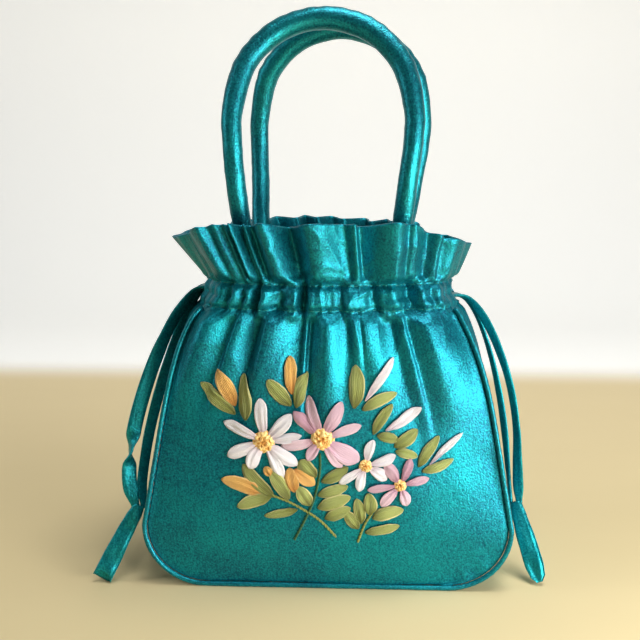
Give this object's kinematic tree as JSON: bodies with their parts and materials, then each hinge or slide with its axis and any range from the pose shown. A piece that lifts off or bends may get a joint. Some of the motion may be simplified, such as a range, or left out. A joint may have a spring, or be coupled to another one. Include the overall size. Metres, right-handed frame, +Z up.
{
  "type": "potli bag",
  "caption": "Small satin drawstring bag with a gathered ruffled mouth, padded loop handles, piped seams and a ribbon-embroidered flower spray.",
  "frame": {"origin": "centre of the flat base, on the surface that the bag stands on", "axes": "+Z up, -Y towards the embroidered front, +X to the right seen from the front"},
  "size_m": [0.2456, 0.108, 0.3056],
  "materials": {
    "satin": "glossy satin weave",
    "handle_satin": "glossy satin over padding",
    "piping": "satin over a thin filler cord",
    "strap_satin": "folded satin strap",
    "lining": "plain lining cloth",
    "white_ribbon": "narrow satin ribbon",
    "pink_ribbon": "narrow satin ribbon",
    "orange_ribbon": "narrow satin ribbon",
    "olive_ribbon": "narrow organza ribbon",
    "yellow_thread": "cluster of thread knots"
  },
  "bodies": {
    "root": {"front_panel": "satin", "back_panel": "satin", "gusset": "satin", "lining": "lining", "front_piping": "piping", "back_piping": "piping", "front_handle": "handle_satin", "back_handle": "handle_satin", "left_drawstring": "strap_satin", "right_drawstring": "strap_satin", "left_tab": "strap_satin", "right_tab": "strap_satin", "white_flower": "white_ribbon", "pink_flower": "pink_ribbon", "small_white_flower": "white_ribbon", "small_pink_flower": "pink_ribbon", "white_flower_knot": "yellow_thread", "pink_flower_knot": "yellow_thread", "small_white_flower_knot": "yellow_thread", "small_pink_flower_knot": "yellow_thread", "left_spray": "olive_ribbon", "right_spray": "olive_ribbon", "top_left_leaves": "olive_ribbon", "top_middle_leaves": "olive_ribbon", "bud_leaves_1": "olive_ribbon", "bud_leaves_2": "olive_ribbon", "bud_leaves_3": "olive_ribbon", "bud_leaves_4": "olive_ribbon", "bud_1": "white_ribbon", "bud_2": "white_ribbon", "bud_3": "white_ribbon", "orange_leaf_1": "orange_ribbon", "orange_leaf_2": "orange_ribbon", "orange_leaf_3": "orange_ribbon", "orange_leaf_4": "orange_ribbon", "orange_leaf_5": "orange_ribbon"}
  },
  "joints": []
}
